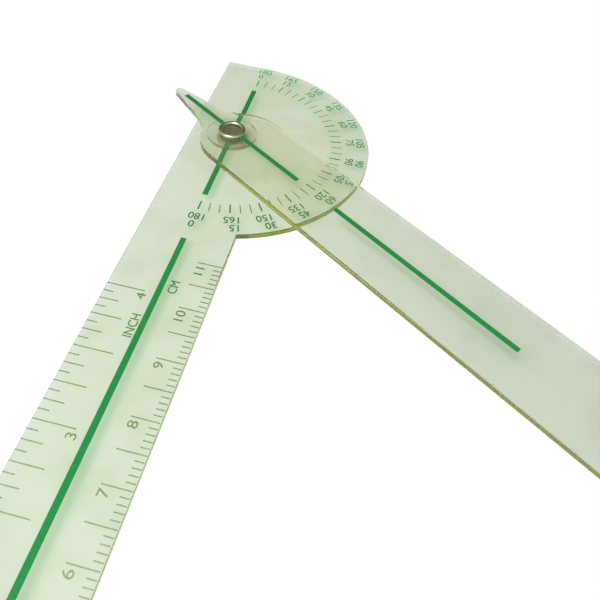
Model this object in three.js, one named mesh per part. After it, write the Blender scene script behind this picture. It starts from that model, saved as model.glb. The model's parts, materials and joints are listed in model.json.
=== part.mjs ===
// Pocket goniometer: a clear ruler arm with a half-round degree head, a clear pointer arm that turns
// on it, and the tubular eyelet and washers that hold the two sheets together.
// Millimetres, +Z up. The ruler arm runs along +Y from its square zero end to the head.

import * as THREE from 'three';

// Driving dimensions of the two sheets
const sheet_thickness = 1.1;
const arm_width = 16.9;
const zero_to_hinge = 145;
const head_radius = 28;
const pointer_arm_length = 145;
const edge_break = 0.1;

// Back end of the pointer arm, which is drawn in to a reading point
const point_reach = 18.45;
const point_tip_radius = 0.95;
const point_taper = THREE.MathUtils.degToRad(10.2);
const shoulder_offset = 3.4;
const neck_fillet = 8.7;

// Reading shown on the head's inner row of numbers
const reading = THREE.MathUtils.degToRad(125);

// Tubular eyelet: bore, wall, rolled rim above and clinched roll below
const eyelet_bore_radius = 1.87;
const eyelet_wall = 0.3;
const rim_radius = 2.8;
const rim_height = 0.4;
const clinch_radius = 2.75;
const clinch_height = 0.45;

// Washers
const spacer_radius = 5;
const spacer_thickness = 0.7;
const back_washer_radius = 3.05;
const back_washer_thickness = 0.5;

// Clearances
const hole_clearance = 0.08;
const seat_gap = 0.04;

// Number of facets, and the distance within which two points are one
const round_steps = 20;
const turned_steps = 48;
const roll_steps = 8;
const same_point = 1e-6;

// Sizes that follow from the ones above
const half_width = arm_width / 2;
const barrel_radius = eyelet_bore_radius + eyelet_wall;
const hole_radius = barrel_radius + hole_clearance;

// Heights of the stack, from the table up
const back_washer_z = clinch_height + seat_gap;
const ruler_z = back_washer_z + back_washer_thickness + seat_gap;
const spacer_z = ruler_z + sheet_thickness + seat_gap;
const pointer_z = spacer_z + spacer_thickness + seat_gap;
const rim_z = pointer_z + sheet_thickness + seat_gap;

function clear_plastic() {
  return new THREE.MeshStandardMaterial({ color: '#cfdcc6', roughness: 0.12, metalness: 0 });
}

function nickel_plate() {
  return new THREE.MeshStandardMaterial({ color: '#c9c6bb', roughness: 0.22, metalness: 1 });
}

// The points of a path, once each where its lines and arcs meet
function path_points(path) {
  const points = path.getPoints(round_steps);
  return points.filter((point, index) => {
    const before = points.at(index - 1);
    return point.distanceTo(before) > same_point;
  });
}

// A sheet's outline, with the hinge hole that both sheets have
function with_hinge_hole(outline) {
  const hole = new THREE.Path();
  hole.absarc(0, 0, hole_radius, 0, 2 * Math.PI, true);
  const sheet_shape = new THREE.Shape(path_points(outline));
  sheet_shape.holes.push(new THREE.Path(path_points(hole)));
  return sheet_shape;
}

// A flat sheet cut to an outline, with its sharp edges just broken, standing on z = 0
function cut_sheet(outline) {
  const sheet = new THREE.ExtrudeGeometry(outline, {
    depth: sheet_thickness - 2 * edge_break,
    bevelEnabled: true,
    bevelThickness: edge_break,
    bevelSize: edge_break,
    bevelOffset: -edge_break,
    bevelSegments: 1,
  });
  return sheet.translate(0, 0, edge_break);
}

// Ruler arm: straight down its left side, square at the zero end, with the head bulging to the right.
// The head's arc is centred on the hinge and runs level into the square top corner.
function ruler_arm_outline() {
  const arc_start = -Math.acos(half_width / head_radius);
  const arc_end = Math.PI / 2;
  const outline = new THREE.Path();
  outline.moveTo(-half_width, head_radius);
  outline.lineTo(-half_width, -zero_to_hinge);
  outline.lineTo(half_width, -zero_to_hinge);
  outline.absarc(0, 0, head_radius, arc_start, arc_end, false);
  return with_hinge_hole(outline);
}

// Where the neck fillet lies on the right side of the pointer arm: it touches the tapered flank of the
// point and the round shoulder from outside.
function neck_geometry() {
  const flank_out = new THREE.Vector2(Math.cos(point_taper), -Math.sin(point_taper));
  const flank_along = new THREE.Vector2(Math.sin(point_taper), Math.cos(point_taper));
  const tip_centre = new THREE.Vector2(0, point_tip_radius - point_reach);
  const shoulder_centre = new THREE.Vector2(0, shoulder_offset);
  const fillet_line = tip_centre.clone().addScaledVector(flank_out, point_tip_radius + neck_fillet);
  const from_shoulder = fillet_line.clone().sub(shoulder_centre);
  const along = from_shoulder.dot(flank_along);
  const centre_distance = half_width + neck_fillet;
  const reach = -along - Math.sqrt(along ** 2 - from_shoulder.lengthSq() + centre_distance ** 2);
  const fillet_centre = fillet_line.addScaledVector(flank_along, reach);
  const to_fillet = fillet_centre.clone().sub(shoulder_centre);
  return { tip_centre, shoulder_centre, fillet_centre, shoulder_angle: to_fillet.angle() };
}

// Pointer arm, its length along +Y and its reading point along -Y
function pointer_arm_outline() {
  const neck = neck_geometry();
  const fillet_y = neck.fillet_centre.y;
  const shoulder_turn = neck.shoulder_angle - 2 * Math.PI;
  const outline = new THREE.Path();
  outline.moveTo(half_width, pointer_arm_length);
  outline.lineTo(-half_width, pointer_arm_length);
  outline.absarc(0, neck.shoulder_centre.y, half_width, Math.PI, Math.PI - shoulder_turn, false);
  outline.absarc(-neck.fillet_centre.x, fillet_y, neck_fillet, -shoulder_turn, point_taper, true);
  outline.absarc(
    0, neck.tip_centre.y, point_tip_radius, Math.PI + point_taper, 2 * Math.PI - point_taper, false,
  );
  outline.absarc(
    neck.fillet_centre.x, fillet_y, neck_fillet, Math.PI - point_taper, Math.PI + shoulder_turn, true,
  );
  outline.absarc(0, neck.shoulder_centre.y, half_width, shoulder_turn, 0, false);
  return with_hinge_hole(outline);
}

// A closed section is turned about the hinge axis. Its points are radius and height.
function turn(section) {
  return new THREE.LatheGeometry(section, turned_steps).rotateX(Math.PI / 2);
}

function washer(outer_radius, thickness) {
  const section = [
    new THREE.Vector2(hole_radius, 0),
    new THREE.Vector2(outer_radius, 0),
    new THREE.Vector2(outer_radius, thickness),
    new THREE.Vector2(hole_radius, thickness),
    new THREE.Vector2(hole_radius, 0),
  ];
  return turn(section);
}

// Half an ellipse in the section plane, from the lip's edge over the roll to the barrel
function roll_path(lip_radius, base_z, height, side) {
  const wall_middle = eyelet_bore_radius + eyelet_wall / 2;
  const lip_middle = lip_radius - eyelet_wall / 2;
  const roll_middle = (wall_middle + lip_middle) / 2;
  const roll_half_width = (lip_middle - wall_middle) / 2;
  const roll_rise = height - eyelet_wall / 2;
  const path = [];
  for (let step = 0; step <= roll_steps; step += 1) {
    const turned = (Math.PI * step) / roll_steps;
    const radius = roll_middle + roll_half_width * Math.cos(turned);
    path.push(new THREE.Vector2(radius, base_z + side * roll_rise * Math.sin(turned)));
  }
  return path;
}

// The two faces of a thin metal wall that follows a path, as one closed section
function wall_section(path) {
  const inner = [];
  const outer = [];
  path.forEach((point, index) => {
    const before = path[Math.max(index - 1, 0)];
    const after = path[Math.min(index + 1, path.length - 1)];
    const along = after.clone().sub(before).normalize();
    const across = new THREE.Vector2(-along.y, along.x);
    inner.push(point.clone().addScaledVector(across, -eyelet_wall / 2));
    outer.unshift(point.clone().addScaledVector(across, eyelet_wall / 2));
  });
  return [...inner, ...outer, inner[0].clone()];
}

// Eyelet: a thin tube through the stack, rolled over the pointer arm and under the back washer
function rolled_eyelet() {
  const rim = roll_path(rim_radius, rim_z, rim_height, 1);
  const clinch = roll_path(clinch_radius, clinch_height, clinch_height, -1);
  return turn(wall_section([...rim, ...clinch.reverse()]));
}

function add_piece(parent, name, geometry, material, z) {
  const piece = new THREE.Mesh(geometry, material);
  piece.name = name;
  piece.position.z = z;
  parent.add(piece);
}

// Puts the middle of the whole tool's box over the origin, with its lowest point on z = 0
function stand_on_origin(tool) {
  const box = new THREE.Box3().setFromObject(tool, true);
  const centre = box.getCenter(new THREE.Vector3());
  tool.position.set(-centre.x, -centre.y, -box.min.z);
  return tool;
}

function build_goniometer() {
  const tool = new THREE.Group();
  const turning = new THREE.Group();
  turning.rotation.z = -reading;
  tool.add(turning);
  add_piece(tool, 'back_washer', washer(back_washer_radius, back_washer_thickness), nickel_plate(),
    back_washer_z);
  add_piece(tool, 'ruler_arm', cut_sheet(ruler_arm_outline()), clear_plastic(), ruler_z);
  add_piece(tool, 'spacer_washer', washer(spacer_radius, spacer_thickness), clear_plastic(), spacer_z);
  add_piece(turning, 'pointer_arm', cut_sheet(pointer_arm_outline()), clear_plastic(), pointer_z);
  add_piece(tool, 'eyelet', rolled_eyelet(), nickel_plate(), 0);
  return stand_on_origin(tool);
}

const goniometer = build_goniometer();

export default goniometer;
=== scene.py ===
# %% [markdown]
# # A clear pocket goniometer
# This goniometer is two thin sheets of clear, faintly green plastic that turn on a nickel eyelet. The
# sheets, the washers and the eyelet come finished in shape from the CAD model. What is left for Blender
# is what the eye notices first: how light goes through the sheets, how their cut edges look, how the
# nickel shines, and the green print with its soft shadow on the table below.

# %% Load the model
import json
import math

import bpy
from mathutils import Matrix, Vector


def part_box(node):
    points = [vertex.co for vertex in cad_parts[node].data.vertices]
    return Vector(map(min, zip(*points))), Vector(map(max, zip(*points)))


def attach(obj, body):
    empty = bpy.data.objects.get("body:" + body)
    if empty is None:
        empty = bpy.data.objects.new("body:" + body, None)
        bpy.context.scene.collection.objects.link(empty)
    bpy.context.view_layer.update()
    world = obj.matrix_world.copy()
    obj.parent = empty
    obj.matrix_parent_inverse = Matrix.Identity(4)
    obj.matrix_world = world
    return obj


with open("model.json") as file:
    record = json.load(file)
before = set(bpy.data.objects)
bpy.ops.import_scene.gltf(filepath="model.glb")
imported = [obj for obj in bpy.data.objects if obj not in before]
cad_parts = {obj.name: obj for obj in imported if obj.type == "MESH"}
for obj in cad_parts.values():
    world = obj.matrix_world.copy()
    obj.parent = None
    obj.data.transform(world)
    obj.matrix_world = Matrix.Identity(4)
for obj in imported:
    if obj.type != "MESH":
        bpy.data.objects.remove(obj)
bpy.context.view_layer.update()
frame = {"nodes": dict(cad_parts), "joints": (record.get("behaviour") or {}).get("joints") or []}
nodes = frame["nodes"]
print("nodes:", ", ".join(sorted(nodes)))

# %% [markdown]
# ## Places that the print needs
# The print lies on the top faces of the two arms, so its heights are read from the CAD nodes, and its
# place across the tool from the hinge. The print is drawn in millimetres, with the hinge at zero and
# the arm along +Y, and each finished piece is brought to metres when it is laid in its place.

# %% Hinge, top faces and the pointer arm's direction
mm = 0.001
rest_reading = math.radians(125)

hinge = Vector(frame["joints"][0]["pos_m"])
ruler_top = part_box("ruler_arm")[1].z
pointer_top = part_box("pointer_arm")[1].z
ruler_place = Matrix.Translation((hinge.x, hinge.y, ruler_top)) @ Matrix.Scale(mm, 4)
pointer_place = (
    Matrix.Translation((hinge.x, hinge.y, pointer_top))
    @ Matrix.Rotation(-rest_reading, 4, "Z")
    @ Matrix.Scale(mm, 4)
)
print(f"ruler arm's top face at {ruler_top / mm:.2f} mm, pointer arm's at {pointer_top / mm:.2f} mm")

# %% [markdown]
# ## The camera
# The photograph is taken from close in front of the hinge with a fairly wide lens, so the arms spread
# towards the viewer. A camera could be placed by eye, but a few degrees of error would show in the two
# scales. Its lens and place were worked out from their marks, whose real spacing is known. A small
# sideways shift of the sensor finishes the framing.

# %% Camera
camera_from_hinge = Vector((27.6, -102.8, 77.1))
camera_turn = math.radians(8.7)
camera_tilt = math.radians(39.8)
camera_roll = math.radians(6.3)
focal_length = 37.42
sensor_width = 36
sideways_shift = 0.0467
nearest_seen = 1 * mm


def deselect_all():
    """An operator acts on all that is selected, so each step starts with nothing selected."""
    bpy.ops.object.select_all(action="DESELECT")


deselect_all()
bpy.ops.object.camera_add()
camera = bpy.context.object
camera.name = "camera"
camera.data.sensor_width = sensor_width
camera.data.lens = focal_length
camera.data.shift_x = sideways_shift
camera.data.clip_start = nearest_seen
camera.matrix_world = (
    Matrix.Translation(Vector((hinge.x, hinge.y, ruler_top)) + camera_from_hinge * mm)
    @ Matrix.Rotation(camera_turn, 4, "Z")
    @ Matrix.Rotation(camera_tilt, 4, "X")
    @ Matrix.Rotation(camera_roll, 4, "Z")
)
bpy.context.scene.camera = camera
bpy.context.scene.view_settings.view_transform = "Standard"
print("camera at", tuple(round(value / mm, 1) for value in camera.location), "mm")

# %% [markdown]
# ## Long light paths
# Light that is caught in a clear sheet runs on between its two faces and leaves only where an edge lets
# it out. By then it has crossed the sheet dozens of times and has lost its blue, and that makes the
# edges olive. With Blender's usual number of bounces these paths would end too early and the edges
# would turn black, so the number is raised. A few long paths find something bright by chance and
# would leave single bright dots on the edges, so the strength of indirect light is limited.

# %% Bounces and the limit on indirect light
most_bounces = 48
guided_bounces = 44
indirect_limit = 1

cycles = bpy.context.scene.cycles
cycles.max_bounces = most_bounces
cycles.glossy_bounces = guided_bounces
cycles.transmission_bounces = guided_bounces
cycles.sample_clamp_indirect = indirect_limit
print("light may bounce", most_bounces, "times")

# %% [markdown]
# ## Node helpers
# Every material is a small graph of nodes. One function adds a node, sets it up and links it, so that a
# material reads from top to bottom. Colours are written as the hex values that a paint program shows,
# and one function turns them into the linear values that the renderer works with.

# %% Colour and node functions
def linear(hex_colour):
    """The linear RGBA of an sRGB hex colour such as #2fa05a."""
    shares = [int(hex_colour[place:place + 2], 16) / 255 for place in (1, 3, 5)]
    return [s / 12.92 if s <= 0.04045 else ((s + 0.055) / 1.055) ** 2.4 for s in shares] + [1]


def add_node(tree, kind, settings=None, inputs=None):
    """Adds a node. Its inputs go by name or number, and each takes a value or another node's output."""
    node = tree.nodes.new(kind)
    for name, value in (settings or {}).items():
        setattr(node, name, value)
    for name, value in (inputs or {}).items():
        if isinstance(value, bpy.types.NodeSocket):
            tree.links.new(value, node.inputs[name])
        else:
            node.inputs[name].default_value = value
    return node


def new_material(name):
    """A material and its tree, which is still empty."""
    material = bpy.data.materials.new(name)
    material.use_nodes = True
    material.node_tree.nodes.clear()
    return material, material.node_tree


white = linear("#ffffff")
print("mid grey #808080 is", round(linear("#808080")[0], 3), "in linear light")

# %% [markdown]
# ## The table
# Round the tool the photograph shows the table as pure white, but through the clear sheets it shows
# matt, pale grey-green paint with the soft shadows of the print. So the camera's own rays see plain
# white, and all other rays see the paint, which takes shadows. To the right of the hinge the paint is
# made a little darker: that is painted shade, for the light that falls off towards the right.

# %% Table and its paint
table_size = 3
table_gap = 0.02 * mm
left_paint = "#dbe3de"
# The right colour is the paint darkened by painted shade, for the weaker light right of the hinge.
right_paint_painted_shade = "#cfd7d2"
painted_shade_from = 10 * mm
painted_shade_to = 50 * mm


def table_paint():
    material, tree = new_material("pale_table_paint_and_painted_shade")
    place = add_node(tree, "ShaderNodeTexCoord")
    parts = add_node(tree, "ShaderNodeSeparateXYZ", inputs={"Vector": place.outputs["Object"]})
    # Painted shade: the paint darkens from the left colour to the right one, as the light falls off.
    painted_falloff = add_node(tree, "ShaderNodeMapRange", inputs={
        "Value": parts.outputs["X"],
        "From Min": hinge.x + painted_shade_from, "From Max": hinge.x + painted_shade_to,
    })
    tone = add_node(tree, "ShaderNodeMixRGB", inputs={
        "Fac": painted_falloff.outputs["Result"],
        "Color1": linear(left_paint), "Color2": linear(right_paint_painted_shade),
    })
    paint = add_node(tree, "ShaderNodeBsdfDiffuse", inputs={"Color": tone.outputs["Color"]})
    plain = add_node(tree, "ShaderNodeEmission", inputs={"Color": white, "Strength": 1})
    rays = add_node(tree, "ShaderNodeLightPath")
    seen = add_node(tree, "ShaderNodeMixShader", inputs={
        "Fac": rays.outputs["Is Camera Ray"], 1: paint.outputs[0], 2: plain.outputs[0],
    })
    add_node(tree, "ShaderNodeOutputMaterial", inputs={"Surface": seen.outputs[0]})
    return material


deselect_all()
bpy.ops.mesh.primitive_plane_add(size=table_size, location=(0, 0, -table_gap))
table = bpy.context.object
table.name = "table"
table.data.materials.append(table_paint())
print(f"table {table_size} m wide, {table_gap / mm:.2f} mm under the tool")

# %% [markdown]
# ## The light tent
# Small shiny things are photographed in a tent of white cloth, so that nothing dark is mirrored in
# them. Here the tent is the world. It is brightest in front, up and a little to the left, and dim on
# the far side, which gives the nickel its dark and light bands, and a pale band lies along the horizon.
# The camera's own rays see plain white, as they do on the table.

# %% Light tent
tent_bright_side = (-0.15, -0.75, 0.65)
tent_dim = 0.06
tent_bright = 0.98
tent_dim_from = -0.6
tent_fall = 1.5
horizon_glow = 0.9
horizon_reach = 0.3


def light_tent():
    world = bpy.data.worlds.new("light_tent")
    world.use_nodes = True
    tree = world.node_tree
    tree.nodes.clear()
    direction = add_node(tree, "ShaderNodeTexCoord")
    towards = add_node(tree, "ShaderNodeVectorMath", {"operation": "DOT_PRODUCT"}, {
        0: direction.outputs["Generated"], 1: tent_bright_side,
    })
    share = add_node(tree, "ShaderNodeMapRange", inputs={
        "Value": towards.outputs["Value"], "From Min": tent_dim_from, "From Max": 1,
    })
    fall = add_node(tree, "ShaderNodeMath", {"operation": "POWER"}, {
        0: share.outputs["Result"], 1: tent_fall,
    })
    cloth = add_node(tree, "ShaderNodeMapRange", inputs={
        "Value": fall.outputs[0], "To Min": tent_dim, "To Max": tent_bright,
    })
    parts = add_node(tree, "ShaderNodeSeparateXYZ", inputs={"Vector": direction.outputs["Generated"]})
    steepness = add_node(tree, "ShaderNodeMath", {"operation": "ABSOLUTE"}, {0: parts.outputs["Z"]})
    horizon = add_node(tree, "ShaderNodeMapRange", inputs={
        "Value": steepness.outputs[0], "From Max": horizon_reach, "To Min": horizon_glow, "To Max": 0,
    })
    level = add_node(tree, "ShaderNodeMath", {"operation": "ADD"}, {
        0: cloth.outputs["Result"], 1: horizon.outputs["Result"],
    })
    tent = add_node(tree, "ShaderNodeBackground", inputs={"Color": white, "Strength": level.outputs[0]})
    plain = add_node(tree, "ShaderNodeBackground", inputs={"Color": white, "Strength": 1})
    rays = add_node(tree, "ShaderNodeLightPath")
    seen = add_node(tree, "ShaderNodeMixShader", inputs={
        "Fac": rays.outputs["Is Camera Ray"], 1: tent.outputs[0], 2: plain.outputs[0],
    })
    add_node(tree, "ShaderNodeOutputWorld", inputs={"Surface": seen.outputs[0]})
    return world


bpy.context.scene.world = light_tent()
print("light tent from", tent_dim, "to", tent_bright, "with a horizon of", horizon_glow)

# %% [markdown]
# ## The soft box
# A lamp in a cloth box of 40 by 34 cm hangs above the tool, to the left and towards the viewer. It is an
# area lamp of the same size, because a small lamp would throw hard shadows of the print. Rays that
# cross the sheets don't see it: its picture would stand as a white line in their far edges.

# %% Soft box
lamp_from_hinge = Vector((-149, -264, 518))
lamp_width = 400 * mm
lamp_height = 340 * mm
lamp_power = 2.15

lamp_place = hinge + lamp_from_hinge * mm
deselect_all()
bpy.ops.object.light_add(type="AREA", location=lamp_place)
lamp = bpy.context.object
lamp.name = "soft_box"
lamp.data.shape = "RECTANGLE"
lamp.data.size = lamp_width
lamp.data.size_y = lamp_height
lamp.data.energy = lamp_power
lamp.visible_transmission = False
lamp.rotation_euler = (hinge - lamp_place).to_track_quat("-Z", "Y").to_euler()
print("soft box at", tuple(round(value / mm) for value in lamp_place), "mm")

# %% [markdown]
# ## Clear plastic: which surface is which
# The sheets are cut from clear rigid vinyl. A sheet has polished faces, cut edges, broken corners
# between the two, and the wall of the hinge hole, and each of them looks different. They could have a
# material each, but the CAD mesh stays as it is. So one material tells them apart: by how far a face's
# true normal leans from upright, and by the distance from the hinge.

# %% Masks for edges, hole walls and corners
face_flatness = 0.9
corner_flatness = 0.7
corner_spread = 0.15
hole_wall_reach = 2.7 * mm


def surface_masks(tree, place):
    """The shares, each 0 or 1, of cut edge, of hole wall and of outer corner."""
    facing = add_node(tree, "ShaderNodeNewGeometry")
    parts = add_node(tree, "ShaderNodeSeparateXYZ", inputs={"Vector": facing.outputs["True Normal"]})
    flatness = add_node(tree, "ShaderNodeMath", {"operation": "ABSOLUTE"}, {0: parts.outputs["Z"]})
    edge = add_node(tree, "ShaderNodeMath", {"operation": "LESS_THAN"}, {
        0: flatness.outputs[0], 1: face_flatness,
    })
    flattened = add_node(tree, "ShaderNodeVectorMath", {"operation": "MULTIPLY"}, {
        0: place.outputs["Object"], 1: (1, 1, 0),
    })
    from_hinge = add_node(tree, "ShaderNodeVectorMath", {"operation": "DISTANCE"}, {
        0: flattened.outputs[0], 1: (hinge.x, hinge.y, 0),
    })
    near_hinge = add_node(tree, "ShaderNodeMath", {"operation": "LESS_THAN"}, {
        0: from_hinge.outputs["Value"], 1: hole_wall_reach,
    })
    hole_wall = add_node(tree, "ShaderNodeMath", {"operation": "MULTIPLY"}, {
        0: edge.outputs[0], 1: near_hinge.outputs[0],
    })
    corner = add_node(tree, "ShaderNodeMath", {"operation": "COMPARE"}, {
        0: flatness.outputs[0], 1: corner_flatness, 2: corner_spread,
    })
    outer_corner = add_node(tree, "ShaderNodeMath", {"operation": "SUBTRACT", "use_clamp": True}, {
        0: corner.outputs[0], 1: near_hinge.outputs[0],
    })
    return edge.outputs[0], hole_wall.outputs[0], outer_corner.outputs[0]


print(f"a face that leans more than {math.degrees(math.acos(face_flatness)):.0f} degrees is an edge")

# %% [markdown]
# ## Clear plastic: faces and edges
# A face of such a sheet is clear and glossy, with a faint haze where it is scuffed and faint cloudy
# patches, both about a centimetre wide. A cut edge is a little rougher and has its own tint. The
# plastic could be made of separate gloss and glass shaders, but the Principled shader with Transmission
# holds both, and it bends light by the plastic's own index.

# %% Surface of the sheet
scuff_noise = {"Scale": 1 / (11.11 * mm), "Detail": 6, "Roughness": 0.62}
haze_limits = {"From Min": 0.35, "From Max": 0.75, "To Min": 0.015, "To Max": 0.08}
cloud_noise = {"Scale": 1 / (9.09 * mm), "Detail": 3, "Roughness": 0.6}
cloud_limits = {"From Min": 0.3, "From Max": 0.54}
cloud_colour = "#f3f6f2"
face_clearness = 0.99
edge_clearness = 0.97


def sheet_surface(tree, place, edge, edge_colour, edge_roughness, bending):
    scuffs = add_node(tree, "ShaderNodeTexNoise", inputs={
        "Vector": place.outputs["Object"], **scuff_noise,
    })
    haze = add_node(tree, "ShaderNodeMapRange", inputs={"Value": scuffs.outputs["Fac"], **haze_limits})
    roughness = add_node(tree, "ShaderNodeMapRange", inputs={
        "Value": edge, "To Min": haze.outputs["Result"], "To Max": edge_roughness,
    })
    clearness = add_node(tree, "ShaderNodeMapRange", inputs={
        "Value": edge, "To Min": face_clearness, "To Max": edge_clearness,
    })
    clouds = add_node(tree, "ShaderNodeTexNoise", inputs={
        "Vector": place.outputs["Object"], **cloud_noise,
    })
    cloud = add_node(tree, "ShaderNodeMapRange", inputs={"Value": clouds.outputs["Fac"], **cloud_limits})
    tint = add_node(tree, "ShaderNodeMixRGB", inputs={
        "Fac": cloud.outputs["Result"], "Color1": linear(cloud_colour), "Color2": white,
    })
    colour = add_node(tree, "ShaderNodeMixRGB", inputs={
        "Fac": edge, "Color1": tint.outputs["Color"], "Color2": linear(edge_colour),
    })
    plastic = add_node(tree, "ShaderNodeBsdfPrincipled", inputs={
        "Base Color": colour.outputs["Color"], "Roughness": roughness.outputs["Result"],
        "Transmission Weight": clearness.outputs["Result"], "IOR": bending,
    })
    return plastic.outputs[0]


print("faces are", face_clearness, "clear and edges", edge_clearness)

# %% [markdown]
# ## Clear plastic: the light inside
# Such plastic is never quite colourless. Over the short way through a face little is lost, but over the
# long way along the sheet most of the blue goes, and the edge looks olive. That is absorption, so it
# belongs to the volume and not to the surface.
#
# Three things are simpler here than in real plastic. Rays that only carry light to the table cross the
# sheets unbent, or they would need thousands of samples to find the lamp. A broken corner is a tenth of
# a millimetre wide and would scatter the light of the sheet as a row of dots, so light passes it unbent
# too. And the wall of the hinge hole, a hair's breadth from the eyelet's barrel, shows its metal. That
# metal is a darker olive than the eyelet's nickel: painted shade, for the narrow gap under the rim.
#
# The spacer washer is colourless. It is pressed between the sheets and shows there as a faint ring
# only, so its bending is set far lower than that of plastic in air.

# %% Clear sheet and clear washer
# A darker olive than the nickel: the barrel's metal on the hole wall, with painted shade.
barrel_colour_with_painted_shade = "#878c68"
barrel_roughness = 0.4
sheet_keeps = (0.82, 0.86, 0.05, 1)
sheet_density = 80
washer_keeps = (0.6, 0.62, 0.6, 1)
washer_density = 60


def pass_light_straight(tree, surface, colour):
    """A surface that rays which only carry light cross unbent, tinted by a colour."""
    rays = add_node(tree, "ShaderNodeLightPath")
    carrying = add_node(tree, "ShaderNodeMath", {"operation": "MAXIMUM"}, {
        0: rays.outputs["Is Shadow Ray"], 1: rays.outputs["Is Diffuse Ray"],
    })
    straight = add_node(tree, "ShaderNodeBsdfTransparent", inputs={"Color": colour})
    mix = add_node(tree, "ShaderNodeMixShader", inputs={
        "Fac": carrying.outputs[0], 1: surface, 2: straight.outputs[0],
    })
    return mix.outputs[0]


def clear_plastic(name, keeps, density, edge_colour, edge_roughness, bending):
    """Clear plastic. keeps is the colour that light takes on inside it, and density says how fast."""
    material, tree = new_material(name)
    place = add_node(tree, "ShaderNodeTexCoord")
    edge, hole_wall, outer_corner = surface_masks(tree, place)
    plastic = sheet_surface(tree, place, edge, edge_colour, edge_roughness, bending)
    # The hole wall's metal, darkened as painted shade for the narrow gap.
    barrel = add_node(tree, "ShaderNodeBsdfPrincipled", inputs={
        "Base Color": linear(barrel_colour_with_painted_shade), "Metallic": 1, "Roughness": barrel_roughness,
    })
    walled = add_node(tree, "ShaderNodeMixShader", inputs={
        "Fac": hole_wall, 1: plastic, 2: barrel.outputs[0],
    })
    unbent = add_node(tree, "ShaderNodeBsdfRefraction", inputs={"Roughness": 0, "IOR": 1})
    shaped = add_node(tree, "ShaderNodeMixShader", inputs={
        "Fac": outer_corner, 1: walled.outputs[0], 2: unbent.outputs[0],
    })
    volume = add_node(tree, "ShaderNodeVolumeAbsorption", inputs={"Color": keeps, "Density": density})
    add_node(tree, "ShaderNodeOutputMaterial", inputs={
        "Surface": pass_light_straight(tree, shaped.outputs[0], white), "Volume": volume.outputs[0],
    })
    return material


sheet_vinyl = clear_plastic(
    "clear_green_vinyl", sheet_keeps, sheet_density,
    edge_colour="#dee0c0", edge_roughness=0.12, bending=1.53,
)
washer_vinyl = clear_plastic(
    "clear_washer_vinyl", washer_keeps, washer_density,
    edge_colour="#dfe4e5", edge_roughness=0.1, bending=1.12,
)
print("clear plastics:", sheet_vinyl.name, "and", washer_vinyl.name)

# %% [markdown]
# ## Nickel
# The eyelet and its washer are brass tube and sheet, plated with bright nickel. Nickel is a little warmer
# than chrome, and on so small a part its gloss is uneven in patches of under a millimetre. Only the rim
# stands free and mirrors the tent. All that lies lower is seen through plastic, where it looks dull, so
# the finish changes from dull to bright with the height.

# %% Nickel material
grain_noise = {"Scale": 1 / (0.714 * mm), "Detail": 4}
rim_roughness = {"From Min": 0.3, "From Max": 0.7, "To Min": 0.08, "To Max": 0.2}
rim_colour = "#bfc4a6"
dull_colour = "#c9c6ab"
dull_roughness = 0.6
dull_below = 3.5 * mm
bright_above = 4.1 * mm


def nickel_plate():
    material, tree = new_material("bright_nickel_plate")
    place = add_node(tree, "ShaderNodeTexCoord")
    grain = add_node(tree, "ShaderNodeTexNoise", inputs={
        "Vector": place.outputs["Object"], **grain_noise,
    })
    gloss = add_node(tree, "ShaderNodeMapRange", inputs={"Value": grain.outputs["Fac"], **rim_roughness})
    parts = add_node(tree, "ShaderNodeSeparateXYZ", inputs={"Vector": place.outputs["Object"]})
    height = add_node(tree, "ShaderNodeMapRange", inputs={
        "Value": parts.outputs["Z"], "From Min": dull_below, "From Max": bright_above,
    })
    colour = add_node(tree, "ShaderNodeMixRGB", inputs={
        "Fac": height.outputs["Result"], "Color1": linear(dull_colour), "Color2": linear(rim_colour),
    })
    roughness = add_node(tree, "ShaderNodeMapRange", inputs={
        "Value": height.outputs["Result"], "To Min": dull_roughness, "To Max": gloss.outputs["Result"],
    })
    metal = add_node(tree, "ShaderNodeBsdfPrincipled", inputs={
        "Base Color": colour.outputs["Color"], "Metallic": 1, "Roughness": roughness.outputs["Result"],
    })
    add_node(tree, "ShaderNodeOutputMaterial", inputs={"Surface": metal.outputs[0]})
    return material


nickel = nickel_plate()
print(f"nickel: dull below {dull_below / mm:.1f} mm and bright above {bright_above / mm:.1f} mm")

# %% [markdown]
# ## Dressing the CAD nodes
# The CAD nodes keep their meshes. A Weld modifier joins their loose triangles, and an Edge Split modifier
# leaves the cut edges sharp while the round walls shade smoothly.

# %% Materials and smooth shading for the CAD nodes
weld_distance = 0.001 * mm
sharp_angle = math.radians(30)


def dress_node(name, material):
    node = nodes[name]
    deselect_all()
    node.select_set(True)
    bpy.context.view_layer.objects.active = node
    bpy.ops.mesh.customdata_custom_splitnormals_clear()
    bpy.ops.object.shade_smooth()
    node.data.materials.clear()
    node.data.materials.append(material)
    weld = node.modifiers.new("weld", "WELD")
    weld.merge_threshold = weld_distance
    split = node.modifiers.new("sharp_edges", "EDGE_SPLIT")
    split.split_angle = sharp_angle
    print(f"{name}: {material.name}")


dress_node("ruler_arm", sheet_vinyl)
dress_node("pointer_arm", sheet_vinyl)
dress_node("spacer_washer", washer_vinyl)
dress_node("eyelet", nickel)
dress_node("back_washer", nickel)

# %% [markdown]
# ## Ink
# The marks are screen printed: a film of green ink about two hundredths of a millimetre thick. It is
# slightly see-through, so its shadow on the table is green and not grey. Fine marks take less ink than
# the broad lines, so they are paler, and the print on the ruler fades towards the zero end. A colour
# ramp along the ruler arm holds both the colour and, as its alpha, how well the ink covers.
#
# The threads of the screen leave a mottle in the ink. They lie about 0.1 mm apart, which is too fine to
# show here, so the mottle is drawn four to five times as coarse.

# %% Ink material
ramp_from = -95
ramp_to = 28
ramp_middle = 0.5
mottle_noise = {"Scale": 1 / (0.4545 * mm), "Detail": 3}
mottle_limits = {"From Min": 0.3, "From Max": 0.7, "To Min": 0.85, "To Max": 1.1}
ink_roughness = 0.5
ink_shine = 0.3


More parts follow.
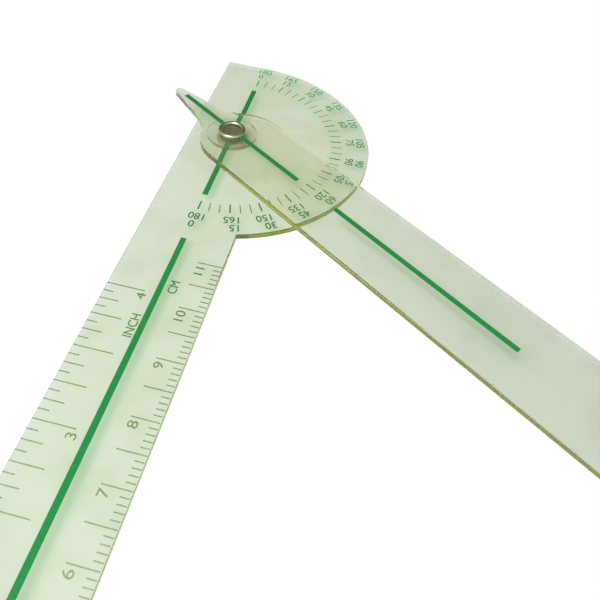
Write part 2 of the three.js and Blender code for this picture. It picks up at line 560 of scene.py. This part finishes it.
def ink_ramp(tree, parts, tones):
    """A colour ramp along the ruler arm, with its stops at places in millimetres from the hinge."""
    share = add_node(tree, "ShaderNodeMapRange", inputs={
        "Value": parts.outputs["Y"],
        "From Min": hinge.y + ramp_from * mm, "From Max": hinge.y + ramp_to * mm,
    })
    ramp = add_node(tree, "ShaderNodeValToRGB", inputs={"Fac": share.outputs["Result"]})
    stops = ramp.color_ramp.elements
    while len(stops) < len(tones):
        stops.new(ramp_middle)
    for stop, (at, colour, cover) in zip(stops, tones):
        stop.position = (at - ramp_from) / (ramp_to - ramp_from)
        stop.color = linear(colour)[:3] + [cover]
    return ramp


def screen_ink(name, tones, shadow_colour):
    """Green ink. tones lists places along the ruler arm with the ink's colour and cover there."""
    material, tree = new_material(name)
    place = add_node(tree, "ShaderNodeTexCoord")
    parts = add_node(tree, "ShaderNodeSeparateXYZ", inputs={"Vector": place.outputs["Object"]})
    ramp = ink_ramp(tree, parts, tones)
    mottle = add_node(tree, "ShaderNodeTexNoise", inputs={
        "Vector": place.outputs["Object"], **mottle_noise,
    })
    tone = add_node(tree, "ShaderNodeMapRange", inputs={"Value": mottle.outputs["Fac"], **mottle_limits})
    shade = add_node(tree, "ShaderNodeMixRGB", {"blend_type": "MULTIPLY"}, {
        "Fac": 1, "Color1": ramp.outputs["Color"], "Color2": tone.outputs["Result"],
    })
    ink = add_node(tree, "ShaderNodeBsdfPrincipled", inputs={
        "Base Color": shade.outputs["Color"], "Roughness": ink_roughness,
        "Specular IOR Level": ink_shine,
    })
    bare = add_node(tree, "ShaderNodeBsdfTransparent", inputs={"Color": linear(shadow_colour)})
    film = add_node(tree, "ShaderNodeMixShader", inputs={
        "Fac": ramp.outputs["Alpha"], 1: bare.outputs[0], 2: ink.outputs[0],
    })
    add_node(tree, "ShaderNodeOutputMaterial", inputs={
        "Surface": pass_light_straight(tree, film.outputs[0], linear(shadow_colour)),
    })
    return material


print(f"the colour ramp runs from {ramp_from} to {ramp_to} mm along the ruler arm")

# %% Inks
line_tones = [
    (-90, "#0f8e3f", 1), (-35, "#208b3f", 1), (-15, "#24843f", 1), (28, "#187a40", 1),
]
figure_tones = [(-90, "#6a9c50", 0.22), (-30, "#38783c", 0.85)]
mark_tones = [(-90, "#6f9c5c", 0.16), (-30, "#6d8a4c", 0.7)]
dial_tones = [(-28, "#1d7040", 1), (0, "#3a8858", 0.75), (28, "#6cbc8c", 0.36)]
fine_tones = [(-28, "#3f8050", 0.75), (0, "#5a946a", 0.55), (28, "#74ba90", 0.35)]

ruler_line_ink = screen_ink("ruler_line_green_ink", line_tones, "#b0e4bc")
pointer_line_ink = screen_ink("pointer_line_green_ink", line_tones, "#6cca88")
figure_ink = screen_ink("figure_green_ink", figure_tones, "#ecf2de")
mark_ink = screen_ink("mark_olive_ink", mark_tones, "#ecf3e8")
dial_ink = screen_ink("dial_green_ink", dial_tones, "#8fe0a0")
fine_ink = screen_ink("fine_dial_green_ink", fine_tones, "#b5ddb5")
print("inks:", ", ".join(material.name for material in bpy.data.materials if "ink" in material.name))

# %% [markdown]
# ## Printed bars
# A line or a mark is a flat bar of ink. It starts as a plane, its corners are rounded because ink flows
# a little, and it is extruded to the thickness of the film. Marks that are alike are one bar, which is
# copied, turned and moved, and all marks of a ring or a scale are joined into one piece.

# %% Bar, copy, join and place
ink_film = 0.02
ink_lift = 0.006
corner_radius = 0.05
corner_steps = 2


def printed_bar(width, start, end):
    """A bar of ink along +Y from start to end, centred on x = 0."""
    deselect_all()
    bpy.ops.mesh.primitive_plane_add(size=1)
    bar = bpy.context.object
    bpy.ops.object.mode_set(mode="EDIT")
    bpy.ops.transform.resize(value=(width, end - start, 1))
    bpy.ops.transform.translate(value=(0, (start + end) / 2, ink_lift))
    bpy.ops.mesh.bevel(offset=corner_radius, segments=corner_steps, affect="VERTICES")
    bpy.ops.mesh.extrude_region_move(TRANSFORM_OT_translate={"value": (0, 0, ink_film)})
    bpy.ops.mesh.select_all(action="SELECT")
    bpy.ops.mesh.normals_make_consistent(inside=False)
    bpy.ops.object.mode_set(mode="OBJECT")
    return bar


def copies_of(piece, moves):
    """A copy with its own mesh for each matrix that moves it. The first piece is taken away."""
    copies = []
    for move in moves:
        twin = piece.copy()
        twin.data = piece.data.copy()
        twin.data.transform(move)
        bpy.context.collection.objects.link(twin)
        copies.append(twin)
    bpy.data.objects.remove(piece, do_unlink=True)
    return copies


def lay_print(name, parts, place, body, ink):
    """Joins the parts, lays them on an arm and lets them ride with it."""
    deselect_all()
    for part in parts:
        part.select_set(True)
    bpy.context.view_layer.objects.active = parts[0]
    if len(parts) > 1:
        bpy.ops.object.join()
    piece = bpy.context.view_layer.objects.active
    piece.name = name
    piece.data.name = name
    piece.data.transform(place)
    piece.data.materials.clear()
    piece.data.materials.append(ink)
    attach(piece, body)
    print(f"{name}: {len(piece.data.polygons)} faces")


print(f"ink film {ink_film} mm thick, {ink_lift} mm above the face")

# %% [markdown]
# ## Centre lines
# Each arm has a broad centre line that points through the hinge. On the ruler arm it stops at the degree
# marks, so that they can be read, and starts again below them. On the pointer arm it runs from the
# reading point to the degree marks and on beyond them. Both lines stop at the hinge hole.

# %% Centre lines
line_width = 1.02
hole_edge = 2.45
zero_to_hinge = 145
end_gap = 1.5
ruler_line_stops = [(hole_edge, 18.15), (-18.3, -hole_edge), (-zero_to_hinge + end_gap, -30.2)]
pointer_line_stops = [(-15.3, -hole_edge), (hole_edge, 19.4), (29.2, 69.15)]

ruler_bars = [printed_bar(line_width, start, end) for start, end in ruler_line_stops]
lay_print("ruler_centre_line", ruler_bars, ruler_place, "ruler", ruler_line_ink)
pointer_bars = [printed_bar(line_width, start, end) for start, end in pointer_line_stops]
lay_print("pointer_centre_line", pointer_bars, pointer_place, "pointer", pointer_line_ink)

# %% [markdown]
# ## Degree marks
# The dial has a mark every 5 degrees, from the ruler's own direction round to the opposite one. Every
# third mark is bold and has two numbers. A ring is one mark, copied and turned about the hinge.

# %% Degree marks
bold_width = 0.27
bold_start = 20.2
bold_end = 22.45
fine_width = 0.17
fine_start = 20.3
fine_end = 22.6
half_turn = 180
bold_step = 15
fine_step = 5


def mark_ring(name, bar, angles, ink):
    turns = [Matrix.Rotation(-math.radians(angle), 4, "Z") for angle in angles]
    lay_print(name, copies_of(bar, turns), ruler_place, "ruler", ink)


bold_angles = range(0, half_turn + 1, bold_step)
fine_angles = [angle for angle in range(fine_step, half_turn, fine_step) if angle % bold_step]
mark_ring("degree_marks_bold", printed_bar(bold_width, bold_start, bold_end), bold_angles, dial_ink)
mark_ring("degree_marks_fine", printed_bar(fine_width, fine_start, fine_end), fine_angles, fine_ink)

# %% [markdown]
# ## Numbers
# A number is a text object at the height of the real figures, made wider or narrower to match their
# width. Its strokes are thickened by a bevel, as ink spreads. It is made a mesh before it is moved.

# %% Text as a mesh
figure_share = 0.7
curve_steps = 4


def printed_text(words, height, width_share, align, stroke_gain):
    """Flat text as a mesh, its foot on y = 0, in millimetres. stroke_gain thickens the strokes."""
    deselect_all()
    bpy.ops.object.text_add()
    text = bpy.context.object
    text.data.body = words
    text.data.size = height / figure_share
    text.data.align_x = align
    text.data.resolution_u = curve_steps
    text.data.extrude = stroke_gain
    text.data.bevel_depth = stroke_gain
    text.data.bevel_resolution = 0
    bpy.ops.object.convert(target="MESH")
    text = bpy.context.object
    thickness = 4 * stroke_gain  # the extrusion and the bevel each add stroke_gain above and below
    text.data.transform(Matrix.Diagonal((width_share, 1, ink_film / thickness, 1)))
    text.data.transform(Matrix.Translation((0, 0, ink_lift + ink_film / 2)))
    return text


print("a figure is", figure_share, "of the text size high")

# %% [markdown]
# ## Dial numbers
# Two rows of numbers stand outside the bold marks, with their tops outwards. The inner row counts one way
# and the outer row the other, so the two numbers of a mark add up to 180. A few near the ends are set a
# little aside, as on the real dial.

# %% Dial numbers
dial_figure_height = 1.6
dial_width_share = 0.98
dial_stroke_gain = 0.02
inner_row_foot = 23.5
outer_row_foot = 25.6
inner_nudges = {165: -0.4, 180: -0.45}
outer_nudges = {0: 0.45, 135: -0.35, 150: -0.6, 165: -0.95}


def dial_row(name, foot, values, nudges):
    figures = []
    for angle, value in zip(bold_angles, values):
        figure = printed_text(
            str(value), dial_figure_height, dial_width_share, "CENTER", dial_stroke_gain,
        )
        figure.data.transform(Matrix.Translation((nudges.get(angle, 0), foot, 0)))
        figure.data.transform(Matrix.Rotation(-math.radians(angle), 4, "Z"))
        figures.append(figure)
    lay_print(name, figures, ruler_place, "ruler", dial_ink)


dial_row("dial_numbers_inner", inner_row_foot, bold_angles, inner_nudges)
dial_row("dial_numbers_outer", outer_row_foot, reversed(bold_angles), outer_nudges)

# %% [markdown]
# ## Centimetre and inch scales
# Both scales start at the square end. The centimetre scale runs up the right edge and has its long marks
# at every half centimetre. The inch scale runs up the left edge in sixteenths, and its marks grow longer
# from the sixteenths to the whole inches.

# %% Scale marks
scale_mark_width = 0.2
half_width = 8.45
edge_inset = 0.03
right_edge = 1
left_edge = -1
millimetre_reaches = {5: 4.33, 1: 1.4}
sixteenth_reaches = {16: 6.35, 8: 6.3, 4: 4.97, 2: 3.17, 1: 1.72}
centimetre = 10
last_centimetre = 11
inch = 25.4
sixteenths = 16
last_inch = 4


def scale_marks(name, edge, reaches, steps, spacing):
    """Marks from an edge of the arm inwards. reaches says how long a mark is at each multiple of
    the steps, the largest multiple first."""
    kinds = {}
    for step in range(1, steps + 1):
        multiple = next(number for number in reaches if step % number == 0)
        kinds.setdefault(multiple, []).append(step * spacing - zero_to_hinge)
    turned = Matrix.Rotation(-edge * math.pi / 2, 4, "Z")
    outer_end = half_width - edge_inset
    marks = []
    for multiple, places in kinds.items():
        bar = printed_bar(scale_mark_width, outer_end - reaches[multiple], outer_end)
        marks += copies_of(bar, [Matrix.Translation((0, at, 0)) @ turned for at in places])
    lay_print(name, marks, ruler_place, "ruler", mark_ink)


scale_marks("centimetre_marks", right_edge, millimetre_reaches, last_centimetre * centimetre, 1)
scale_marks("inch_marks", left_edge, sixteenth_reaches, last_inch * sixteenths, inch / sixteenths)

# %% [markdown]
# ## Scale numbers and unit names
# The numbers of both scales and the names of the units read along the arm, with their feet to the right.
# Each number ends just short of its mark.

# %% Scale numbers and unit names
scale_figure_height = 1.52
scale_width_share = 1.22
scale_stroke_gain = 0.006
figure_gap = 0.47
centimetre_foot = 5.58
inch_foot = -1.57
unit_height = 1.5
unit_width_share = 0.9
unit_stroke_gain = 0.025
unit_places = {"CM": (2.75, -41.35), "INCH": (-0.77, -50.4)}


def along_arm(text, foot, at):
    """Text that reads towards the head, with its foot on the right, at a place along the arm."""
    text.data.transform(Matrix.Translation((foot, at, 0)) @ Matrix.Rotation(math.pi / 2, 4, "Z"))
    return text


def scale_numbers(name, foot, last, spacing):
    figures = []
    for value in range(1, last + 1):
        figure = printed_text(
            str(value), scale_figure_height, scale_width_share, "RIGHT", scale_stroke_gain,
        )
        figures.append(along_arm(figure, foot, value * spacing - zero_to_hinge - figure_gap))
    lay_print(name, figures, ruler_place, "ruler", figure_ink)


scale_numbers("centimetre_numbers", centimetre_foot, last_centimetre, centimetre)
scale_numbers("inch_numbers", inch_foot, last_inch, inch)

units = []
for word, (foot, at) in unit_places.items():
    unit = printed_text(word, unit_height, unit_width_share, "CENTER", unit_stroke_gain)
    units.append(along_arm(unit, foot, at))
lay_print("unit_names", units, ruler_place, "ruler", figure_ink)
